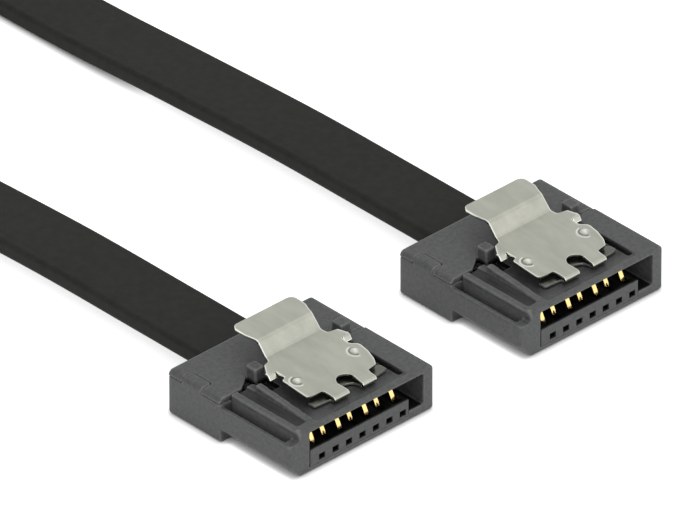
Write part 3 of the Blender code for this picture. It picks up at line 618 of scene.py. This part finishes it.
class CABLE_OT_stage(bpy.types.Operator):
    """Camera, floor, lamps and sky"""

    bl_idname = "data_cable.stage"
    bl_label = "Camera, floor and light"

    def execute(self, context):
        """Set the camera first, then the floor and the light."""
        settings = context.scene.cable_stage
        scene = context.scene
        scene.view_settings.view_transform = "Standard"
        lens = bpy.data.cameras.new("camera")
        lens.lens = settings.lens
        lens.sensor_width = 36.0
        lens.clip_start = 0.1
        lens.clip_end = 100.0
        camera = bpy.data.objects.new("camera", lens)
        scene.collection.objects.link(camera)
        turn, height = settings.azimuth, settings.elevation
        towards = Vector((
            math.sin(turn) * math.cos(height), -math.cos(turn) * math.cos(height), math.sin(height)
        ))
        distance = settings.across * settings.lens / lens.sensor_width
        camera.location = Vector(settings.aim) + towards * distance
        camera.rotation_euler = (-towards).to_track_quat("-Z", "Y").to_euler()
        scene.camera = camera
        self.floor()
        self.lamps(scene, settings)
        self.sky(scene, settings)
        return {"FINISHED"}

    def floor(self):
        """A pale plane that shows white to the camera, with a painted contact shadow: its glow fades close
        to what stands on it.
        """
        grey, brightness, near_reach, near_power = 0.72, 0.70, 0.6 * MM, 2.0
        made = bpy.data.materials.new("floor")
        made.use_nodes = True
        nodes, links = made.node_tree.nodes, made.node_tree.links
        nodes.clear()
        out = nodes.new("ShaderNodeOutputMaterial")
        diffuse = nodes.new("ShaderNodeBsdfDiffuse")
        diffuse.inputs["Color"].default_value = (grey, grey, grey, 1.0)
        glow = nodes.new("ShaderNodeEmission")
        glow.inputs["Color"].default_value = (1.0, 1.0, 1.0, 1.0)
        # Painted contact shadow: the glow fades by the occlusion close to what stands on the floor
        near = nodes.new("ShaderNodeAmbientOcclusion")
        near.inputs["Distance"].default_value = near_reach
        near.samples = 16
        deep = nodes.new("ShaderNodeMath")
        deep.operation = "POWER"
        deep.inputs[1].default_value = near_power
        links.new(near.outputs["AO"], deep.inputs[0])
        level = nodes.new("ShaderNodeMath")
        level.operation = "MULTIPLY"
        level.inputs[1].default_value = brightness
        links.new(deep.outputs[0], level.inputs[0])
        strength = nodes.new("ShaderNodeMath")
        strength.operation = "MULTIPLY"
        links.new(seen_rays(nodes, links), strength.inputs[0])
        links.new(level.outputs[0], strength.inputs[1])
        links.new(strength.outputs[0], glow.inputs["Strength"])
        both = nodes.new("ShaderNodeAddShader")
        links.new(diffuse.outputs[0], both.inputs[0])
        links.new(glow.outputs[0], both.inputs[1])
        links.new(both.outputs[0], out.inputs["Surface"])
        reach, drop = 3.0, 0.02 * MM
        row = np.array([-reach, reach])
        x, y = np.meshgrid(row, row)
        points = np.stack([x, y, np.full_like(x, -drop)], axis=-1)
        surface("floor", points, grid_faces(2, 2), made, smooth=False)

    def lamps(self, scene, settings):
        """Wide suns: a key from above, a faint one from behind, and two from the front and the left."""
        for name, share, direction, width in (
            ("key", 0.26, (0.25, -0.25, 1.0), 50.0),
            ("back", 0.15, (-0.5, 0.7, 0.9), 90.0),
            ("front", 0.8, (0.1, -1.0, 0.3), 70.0),
            ("left", 0.62, (-0.576, -0.643, 0.506), 40.0),
        ):
            lamp = bpy.data.lights.new(name, "SUN")
            lamp.energy = settings.key * share
            lamp.angle = math.radians(width)
            made = bpy.data.objects.new(name, lamp)
            made.rotation_euler = Vector(direction).to_track_quat("Z", "Y").to_euler()
            scene.collection.objects.link(made)

    def sky(self, scene, settings):
        """An even sky, white where it is seen or mirrored."""
        world = bpy.data.worlds.new("sky")
        world.use_nodes = True
        scene.world = world
        nodes, links = world.node_tree.nodes, world.node_tree.links
        background = nodes["Background"]
        background.inputs["Color"].default_value = (1.0, 1.0, 1.0, 1.0)
        level = nodes.new("ShaderNodeMapRange")
        level.inputs["To Min"].default_value = settings.fill
        level.inputs["To Max"].default_value = 1.0
        links.new(seen_rays(nodes, links), level.inputs["Value"])
        links.new(level.outputs["Result"], background.inputs["Strength"])


def route_points(samples):
    """The whole route with points added by the Catmull-Rom rule: x, y, z and turn, one row for each."""
    back = [(-x, y, z, turn) for x, y, z, turn in reversed(HALF_ROUTE)]
    knots = np.array([*HALF_ROUTE, LOOP_TOP, *back])
    before = np.concatenate([knots[:1], knots[:-2]])[:, None, :]
    start = knots[:-1][:, None, :]
    end = knots[1:][:, None, :]
    after = np.concatenate([knots[2:], knots[-1:]])[:, None, :]
    t = (np.arange(samples) / samples)[None, :, None]
    points = 2 * start + (end - before) * t + (2 * before - 5 * start + 4 * end - after) * t ** 2
    points = (points + (3 * start - before - 3 * end + after) * t ** 3) / 2
    return np.concatenate([points.reshape(-1, 4), knots[-1:]])


class CABLE_OT_cable(bpy.types.Operator):
    """The flat cable that joins the two plugs"""

    bl_idname = "data_cable.cable"
    bl_label = "Flat cable"

    def section(self, sizes):
        """The cable's outline as (across, up): a rectangle with round corners and a line near each edge.

        Every point is the middle of its corner circle plus the circle's radius along an even angle, and
        the flat sides dip by a narrow bell curve beside the edges.
        """
        half_x = sizes.width / 2 - sizes.corner
        half_z = sizes.thick / 2 - sizes.corner
        line_inset, line_width = 0.62 * MM, 0.09 * MM
        corner = np.linspace(0.0, math.pi / 2, 6)
        flat = np.linspace(0.0, 1.0, 25)[1:-1]
        side = np.linspace(0.0, 1.0, 5)[1:-1]
        blocks = []
        for quarter, (sx, sz) in enumerate(((1, 1), (-1, 1), (-1, -1), (1, -1))):
            angle = corner + quarter * math.pi / 2
            blocks.append(np.stack([
                sx * half_x + sizes.corner * np.cos(angle), sz * half_z + sizes.corner * np.sin(angle)
            ], axis=-1))
            if quarter % 2 == 0:
                run = (sx * half_x * (1 - 2 * flat), np.full_like(flat, sz * sizes.thick / 2))
            else:
                run = (np.full_like(side, sx * sizes.width / 2), sz * half_z * (1 - 2 * side))
            blocks.append(np.stack(run, axis=-1))
        outline = np.concatenate(blocks)
        line = sizes.width / 2 - line_inset
        dip = sizes.groove * np.exp(-((np.abs(outline[:, 0]) - line) / line_width) ** 2)
        outline[:, 1] -= np.sign(outline[:, 1]) * dip
        return outline

    def execute(self, context):
        """Carry the outline along the route; its width turns with the ribbon."""
        sizes = context.scene.cable_sizes
        route = route_points(sizes.samples)
        path = route[:, :3]
        turn = np.radians(route[:, 3])[:, None]
        along = np.gradient(path, axis=0)
        along /= np.linalg.norm(along, axis=1)[:, None]
        level = np.stack([-along[:, 1], along[:, 0], np.zeros(len(path))], axis=-1)
        level /= np.linalg.norm(level, axis=1)[:, None]
        over = np.cross(along, level)
        across = np.cos(turn) * level + np.sin(turn) * over
        up = np.cross(along, across)
        outline = self.section(sizes)[None, :, :]
        points = path[:, None, :] + outline[..., :1] * across[:, None, :]
        points = points + outline[..., 1:] * up[:, None, :]
        faces = grid_faces(len(path), outline.shape[1], ring=True)[:, ::-1]
        made = surface("flat_cable", points, faces, jacket())
        capped = bmesh.new()
        capped.from_mesh(made.data)
        bmesh.ops.holes_fill(capped, edges=[e for e in capped.edges if e.is_boundary], sides=0)
        bmesh.ops.recalc_face_normals(capped, faces=capped.faces)
        capped.to_mesh(made.data)
        capped.free()
        settle(made, "cable_assembly", "cable_jacket", "cable")
        return {"FINISHED"}


class CABLE_OT_shells(bpy.types.Operator):
    """The moulded plug bodies and their rear covers"""

    bl_idname = "data_cable.shells"
    bl_label = "Plug bodies and covers"

    def moulded(self, name, nodes, sizes):
        """The nodes of the first plug as one mesh with even squares and softened edges."""
        whole = bmesh.new()
        for node in nodes:
            whole.from_mesh(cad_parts[node].data)
        bmesh.ops.remove_doubles(whole, verts=whole.verts, dist=0.0005 * MM)
        mesh = bpy.data.meshes.new(name)
        whole.to_mesh(mesh)
        whole.free()
        rough = bpy.data.objects.new(name, mesh)
        bpy.context.scene.collection.objects.link(rough)
        even = rough.modifiers.new("even squares", "REMESH")
        even.mode = "VOXEL"
        even.voxel_size = sizes.grain
        soft = rough.modifiers.new("soft edges", "SMOOTH")
        soft.factor = 0.5
        soft.iterations = sizes.softness
        bpy.context.view_layer.update()
        graph = bpy.context.evaluated_depsgraph_get()
        settled = bpy.data.meshes.new_from_object(rough.evaluated_get(graph))
        bpy.data.objects.remove(rough)
        bpy.data.meshes.remove(mesh)
        return settled

    def execute(self, context):
        """Mould one body and one cover, and copy them to both plugs."""
        sizes = context.scene.shell_sizes
        # Painted shade of the slot: the contact block turns black just behind its front face
        block_painted_shade = (PLUG_LOW.y + 0.04 * MM, PLUG_LOW.y + 0.16 * MM, 0.96)
        body = self.moulded("body", ("housing_a",), sizes)
        cover = self.moulded("cover", ("rear_cover_a",), sizes)
        self.raise_bump(body)
        for mesh in (body, cover):
            self.round_edges(mesh, sizes)
            self.paint_shade_and_light(mesh)
        for tag in TAGS:
            shift = plug_centre(tag) - plug_centre("a")
            for name, mesh, nodes in (
                (f"plug_body_{tag}", body, (f"housing_{tag}",)),
                (f"plug_cover_{tag}", cover, (f"rear_cover_{tag}",)),
            ):
                copied = mesh.copy()
                points = mesh_points(copied)
                points[:, 0] += shift
                copied.vertices.foreach_set("co", points.ravel())
                copied.polygons.foreach_set("use_smooth", np.full(len(copied.polygons), True))
                copied.materials.clear()
                copied.materials.append(plastic())
                copied.update()
                made = bpy.data.objects.new(name, copied)
                context.scene.collection.objects.link(made)
                settle(made, "cable_assembly", "plug_plastic", *nodes)
            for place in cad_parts[f"contact_block_{tag}"].material_slots:
                place.material = plastic("block_moulding", block_painted_shade)
        bpy.data.meshes.remove(body)
        bpy.data.meshes.remove(cover)
        return {"FINISHED"}

    def shade(self, places, zone):
        """The painted shade of the points that lie in a zone of the housing, growing along y between two
        places.
        """
        (left, right), (bottom, top), front, steps, shares = zone
        across, along, up = places
        inside = (across > left) & (across < right) & (up > bottom) & (up < top) & (along > front)
        return inside * np.interp(along, steps, shares)

    def paint_shade_and_light(self, mesh):
        """Store painted shade in the hollows and shaded zones, and painted light on the edges and in a
        channel, from the shape and from the place.
        """
        mesh.update()
        fine, broad = hollow(mesh, 6) / MM, hollow(mesh, 40) / MM
        places = ((mesh_points(mesh) - self.corner()) / MM).T
        across, along, up = places
        slot = self.shade(places, SLOT_SHADE)
        # Painted shade: darker in the hollows, and in the zones of SLOT_SHADE and SHADES
        dark = np.clip(1.6 * broad, 0.0, 0.25) + np.clip(7.0 * fine, 0.0, 0.3)
        for shade in (slot, *[self.shade(places, zone) for zone in SHADES]):
            dark = np.maximum(dark, shade)
        store(mesh, "dark", dark)
        # Painted light: pale on sharp edges and a little in the left channel, but not in the slot
        channel = (across > -6.0) & (across < -5.4) & (along > 0.6) & (along < 6.8) & (up < 3.2)
        painted_light = np.maximum(np.clip(-6.0 * fine - 0.05, 0.0, 0.3), 0.1 * channel)
        store(mesh, "painted_light", painted_light * (slot < 0.05))

    def raise_bump(self, mesh):
        """Lift the rail's front end in a round bump: a bell curve of the distance from its middle."""
        points = mesh_points(mesh)
        across, along, up = (points - self.corner()).T
        rise, width, rail_base = 0.11 * MM, 0.2 * MM, 3.3 * MM
        far = np.hypot(across + 5.66 * MM, along - 0.38 * MM)
        points[:, 2] += rise * np.exp(-(far / width) ** 2) * (up > rail_base)
        mesh.vertices.foreach_set("co", points.ravel())

    def corner(self):
        """The middle of the first plug's front lower edge."""
        return np.array([plug_centre("a"), PLUG_LOW.y, PLUG_LOW.z])

    def round_edges(self, mesh, sizes):
        """Round the rear top edges: a point beyond the radius from the inner box moves in to the radius.

        Along y the distance counts more by the factor sharp, so the back edge's curve is smaller.
        """
        points = mesh_points(mesh)
        radius, sharp = sizes.rounding, sizes.sharp
        cover_front, over = PLUG_LOW.y + 6.8 * MM, 0.1 * MM
        middle = (PLUG_LOW.x + PLUG_HIGH.x) / 2
        top = COVER_TOP - 0.01 * MM
        past = np.stack([
            np.abs(points[:, 0] - middle) - (PLUG_WIDTH / 2 - radius),
            (points[:, 1] - (PLUG_HIGH.y - radius / sharp)) * sharp,
            points[:, 2] - (top - radius),
        ], axis=-1)
        past = np.clip(past, 0.0, None)
        far = np.linalg.norm(past, axis=1)
        chosen = (far > radius) & (past[:, 2] > 0)
        chosen &= (points[:, 1] > cover_front) & (points[:, 2] < top + over)
        pull = past * (1.0 - radius / np.maximum(far, radius))[:, None]
        pull[:, 0] *= np.sign(points[:, 0] - middle)
        pull[:, 1] /= sharp
        points[chosen] -= pull[chosen]
        mesh.vertices.foreach_set("co", points.ravel())


class CABLE_OT_latches(bpy.types.Operator):
    """The spring latches with their dimples and barbs"""

    bl_idname = "data_cable.latches"
    bl_label = "Latches"

    def side_path(self, sizes, leaf_z):
        """The latch's side: round the fold, back along the plate, up the neck and along the thumb pad."""
        start = (sizes.front + sizes.sheet / 2 + sizes.fold, leaf_z)
        fold_turn = PLATE_SLOPE - math.pi
        up, down = NECK_SLOPE - PLATE_SLOPE, PAD_SLOPE - NECK_SLOPE
        up_cut = sizes.bend * math.tan(up / 2)
        down_cut = sizes.bend * math.tan(-down / 2)
        plate_length = (NECK_START - start[0]) / math.cos(PLATE_SLOPE)
        neck_length = (PAD_START - NECK_START) / math.cos(NECK_SLOPE)
        pad_length = (PAD_END - PAD_START) / math.cos(PAD_SLOPE)
        return bent_path(start, math.pi, (
            (sizes.fold * -fold_turn, fold_turn),
            (plate_length - up_cut, 0.0),
            (sizes.bend * up, up),
            (neck_length - up_cut - down_cut, 0.0),
            (sizes.bend * -down, down),
            (pad_length - down_cut, 0.0),
        ))

    def execute(self, context):
        """Make each latch as one sheet with a notch between its fingers, and hang its barbs from it."""
        sizes = context.scene.latch_sizes
        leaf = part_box("latch_leaf_a")
        path = self.side_path(sizes, (leaf[0].z + leaf[1].z) / 2)
        notch = length_at(path, NOTCH_END)
        finger = length_at(path, NOTCH_WIDENS)
        rows = np.concatenate([np.linspace(0.0, notch, 30), np.linspace(notch, path[0][-1], 240)[1:]])
        inner = np.interp(rows, [finger, notch], NOTCH_HALF)
        outer = [self.edge(path, rows, points) for points in (LATCH_LEFT, LATCH_RIGHT)]
        dimple = float(length_at(path, DIMPLE_ALONG))

        def pressed(x, s):
            """A dome: its rise times one minus the squared share of its radius, to the power 1.5."""
            share = ((np.abs(x) - DIMPLE_ACROSS) ** 2 + (s - dimple) ** 2) / sizes.dimple ** 2
            return sizes.dimple_rise * np.clip(1.0 - share, 0.0, None) ** 1.5

        points, faces = sheet_points(path, rows, inner, outer, 29, NOTCH_END, pressed, 26, 16)
        for tag in TAGS:
            centre = plug_centre(tag) + sizes.centre
            plate = surface("plate", moved(points, centre, PLUG_LOW.y, 0.0), faces, steel())
            thicken(plate, sizes.sheet)
            barbs = [self.barb(path, sizes, centre, side) for side in (-1, 1)]
            made = joined(f"spring_latch_{tag}", plate, *barbs)
            self.paint_edge_and_bump_light(made.data, centre)
            settle(made, f"latch_{tag}", "latch_steel", f"latch_{tag}")
        return {"FINISHED"}

    def paint_edge_and_bump_light(self, mesh, centre):
        """Store painted highlights on the cut edges and on a spot of each bump with a bright ring at its
        left, and painted shade on the lower cut edges and in a ring inside the bright one.
        """
        points = mesh_points(mesh)
        along = points[:, 1] - PLUG_LOW.y
        side = np.abs(points[:, 0] - centre) - DIMPLE_ACROSS
        far = np.hypot(side, along - DIMPLE_ALONG) / MM
        left = (points[:, 0] - centre) * np.sign(side) < 0
        top = (mesh_points(mesh, "normal")[:, 2] > 0) & (along < 7.0 * MM) & (far < 0.9)
        bright_ring, dark_ring = 0.56, 0.43
        spot = np.exp(-(far / 0.2) ** 2) + left * np.exp(-((far - bright_ring) / 0.06) ** 2)
        ring = left * np.exp(-((far - dark_ring) / 0.07) ** 2)
        bright, below = edge_shine(mesh)
        # Painted highlight: the cut edges and the spots and rings of the bumps
        store(mesh, "painted_light", np.maximum(0.85 * bright, 0.7 * spot * top))
        # Painted shade: the lower half of the cut edges and a ring at the left of each bump
        store(mesh, "dark", np.maximum(0.9 * below, 0.75 * ring * top))

    def edge(self, path, rows, points):
        """The half widths of one edge at the rows, with the thumb pad's corner cut back on a circle."""
        places, widths = np.array(points).T * MM
        lengths = np.where(places > 0, length_at(path, places), 0.0)
        width = softened(rows, lengths, widths, 0.05 * MM)
        left = np.clip(PAD_CORNER - (path[0][-1] - rows), 0.0, None)
        return width - (PAD_CORNER - np.sqrt(PAD_CORNER ** 2 - left ** 2))

    def barb(self, path, sizes, centre, side):
        """A barb: a strip that runs forward inside the wing's sheet, then turns down on an arc."""
        height = float(np.interp(length_at(path, BARB_ROOT), path[0], path[2]))
        _, y, z, _ = bent_path((BARB_ROOT, height), math.pi + PLATE_SLOPE, (
            (BARB_FLAT, 0.0), (BARB_RADIUS * sizes.barb_drop, sizes.barb_drop), (BARB_REACH, 0.0)
        ))
        pick = np.linspace(0, len(y) - 1, 30).astype(int)
        y, z = y[pick], z[pick]
        x = side * np.linspace(*BARB_ACROSS, 12)
        points = np.stack(np.broadcast_arrays(x[None, :], y[:, None], z[:, None]), axis=-1)
        place = moved(points, centre, PLUG_LOW.y, 0.0)
        made = surface("barb", place, grid_faces(len(y), len(x)), steel())
        thicken(made, 0.94 * sizes.sheet, edge=0.04 * MM)
        return made


class CABLE_OT_leaves(bpy.types.Operator):
    """The fixed leaves below the latches"""

    bl_idname = "data_cable.leaves"
    bl_label = "Latch leaves"

    def execute(self, context):
        """Each leaf is a flat sheet with the same kind of notch as the latch."""
        sizes = context.scene.latch_sizes
        low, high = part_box("latch_leaf_a")
        height = (low.z + high.z) / 2
        gap = 0.06 * MM
        start = sizes.front + sizes.sheet / 2 + sizes.fold + gap
        length = LEAF_END - start
        path = bent_path((start, height), 0.0, ((length, 0.0),))
        notch = LEAF_NOTCH_END - start
        rows = np.concatenate([np.linspace(0.0, notch, 12), np.linspace(notch, length, 110)[1:]])
        inner = np.interp(rows, [0.0, notch], NOTCH_HALF)
        places, widths = np.array(LEAF_EDGE).T * MM
        outer = softened(rows, places - start, widths, 0.04 * MM)
        points, faces = sheet_points(
            path, rows, inner, (outer, outer), 11, LEAF_NOTCH_END, side_columns=14, middle_columns=12
        )
        for tag in TAGS:
            place = moved(points, plug_centre(tag) + sizes.centre, PLUG_LOW.y, 0.0)
            leaf = surface(f"leaf_{tag}", place, faces, steel())
            thicken(leaf, sizes.sheet)
            made = joined(f"spring_leaf_{tag}", leaf)
            # Painted shade on the top face, which the latch's plate covers, and painted highlights on the
            # cut rims
            covered = mesh_points(made.data)[:, 2] > height + sizes.sheet / 2 - 0.004 * MM
            store(made.data, "dark", 0.7 * covered)
            store(made.data, "painted_light", 0.6 * rim_points(made.data))
            settle(made, "cable_assembly", "latch_steel", f"latch_leaf_{tag}")
        return {"FINISHED"}


class CABLE_OT_contacts(bpy.types.Operator):
    """The seven plated contacts of each plug"""

    bl_idname = "data_cable.contacts"
    bl_label = "Contacts"

    def blade(self, forked):
        """One contact, tip first: up over the apex and down to its solder tail."""
        setback = (1.20 if forked else 0.95) * MM
        corners = np.array([*BLADE_SIDE, *BLADE_TAIL]) * MM
        corners[:len(BLADE_SIDE), 0] += setback
        gaps = np.linalg.norm(np.diff(corners, axis=0), axis=1)
        knots = np.concatenate([[0.0], np.cumsum(gaps)])
        lengths = np.linspace(0.0, knots[-1], 500)
        soft = 0.09 * MM
        y, z = (softened(lengths, knots, column, soft) for column in corners.T)
        heading = np.arctan2(np.gradient(z), np.gradient(y))
        path = (lengths, y, z, heading)
        notch_row = 6 if forked else 0
        mouth = 0.26 * MM
        rows = np.concatenate([np.linspace(0.0, mouth, 7), np.linspace(mouth, knots[-1], 90)[1:]])
        half, slit, round_tip = 0.175 * MM, 0.055 * MM, 0.16 * MM
        inner = np.full(len(rows), slit)
        before = np.clip(1 - rows / round_tip, 0, 1)
        outer = half - half * 0.55 * (1 - np.sqrt(1 - before ** 2))
        return sheet_points(
            path, rows, inner, (outer, outer), notch_row, 0.3 * MM, side_columns=5, middle_columns=6
        )

    def execute(self, context):
        """Straight and forked tips take turns along the row."""
        shapes = [self.blade(False), self.blade(True)]
        for tag in TAGS:
            blades = []
            nodes = [f"contact_{tag}_{number + 1}" for number in range(CONTACT_COUNT)]
            for index, node in enumerate(nodes):
                points, faces = shapes[index % 2]
                low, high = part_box(node)
                centre = (low.x + high.x) / 2
                made = surface("blade", moved(points, centre, PLUG_LOW.y, 0.0), faces, gold())
                thicken(made, 0.15 * MM, edge=0.025 * MM)
                blades.append(made)
            row = joined(f"contact_row_{tag}", *blades)
            settle(row, "cable_assembly", "contact_gold", *nodes)
        return {"FINISHED"}


class CABLE_OT_insides(bpy.types.Operator):
    """Finishes of the wires and of the combs that carry them"""

    bl_idname = "data_cable.insides"
    bl_label = "Wires and combs"

    def execute(self, context):
        """Give the wires and combs their finishes; their shapes come from the frame."""
        tones = context.scene.cable_finishes
        comb = finish(
            "comb_moulding", tuple(0.7 * c for c in tones.comb), tones.comb, 4000.0, 0.5,
            bump=0.004 * MM, bump_scale=8000.0,
        )
        insulation = finish(
            "wire_insulation", tuple(0.85 * c for c in tones.insulation), tones.insulation, 2500.0, 0.4
        )
        dull = tuple(0.75 * c for c in tones.tin)
        tin = finish("tinned_wire", dull, tones.tin, 3500.0, 0.3, metallic=1.0)
        for name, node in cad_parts.items():
            kind = name.split("_")[0]
            made = {"wire": comb, "core": insulation, "drain": tin}.get(kind)
            if made is not None:
                for place in node.material_slots:
                    place.material = made
        return {"FINISHED"}


class CABLE_PT_parts(bpy.types.Panel):
    """Buttons and sizes of the data cable"""

    bl_idname = "CABLE_PT_parts"
    bl_label = "Data cable"
    bl_space_type = "VIEW_3D"
    bl_region_type = "UI"
    bl_category = "Data cable"

    def draw(self, context):
        """List the operators, then the sizes and colours."""
        layout = self.layout
        for operator in OPERATORS:
            layout.operator(operator.bl_idname)
        for name, group in GROUPS.items():
            box = layout.box()
            box.label(text=group.__doc__)
            for key in group.__annotations__:
                box.prop(getattr(context.scene, name), key)


GROUPS = {
    "cable_sizes": CableSizes,
    "shell_sizes": ShellSizes,
    "latch_sizes": LatchSizes,
    "cable_finishes": Finishes,
    "cable_stage": StageSettings,
}
OPERATORS = (
    CABLE_OT_stage,
    CABLE_OT_cable,
    CABLE_OT_shells,
    CABLE_OT_latches,
    CABLE_OT_leaves,
    CABLE_OT_contacts,
    CABLE_OT_insides,
)


def register():
    """Register the classes and hang the property groups on the scene."""
    for made in (*GROUPS.values(), *OPERATORS, CABLE_PT_parts):
        bpy.utils.register_class(made)
    for name, group in GROUPS.items():
        setattr(bpy.types.Scene, name, bpy.props.PointerProperty(type=group))


def unregister():
    """Take everything that register added away again."""
    for name in GROUPS:
        delattr(bpy.types.Scene, name)
    for made in (CABLE_PT_parts, *reversed(OPERATORS), *reversed(GROUPS.values())):
        bpy.utils.unregister_class(made)


def main():
    register()
    bpy.ops.data_cable.stage()
    bpy.ops.data_cable.cable()
    bpy.ops.data_cable.shells()
    bpy.ops.data_cable.latches()
    bpy.ops.data_cable.leaves()
    bpy.ops.data_cable.contacts()
    bpy.ops.data_cable.insides()


if __name__ == "__main__":
    main()
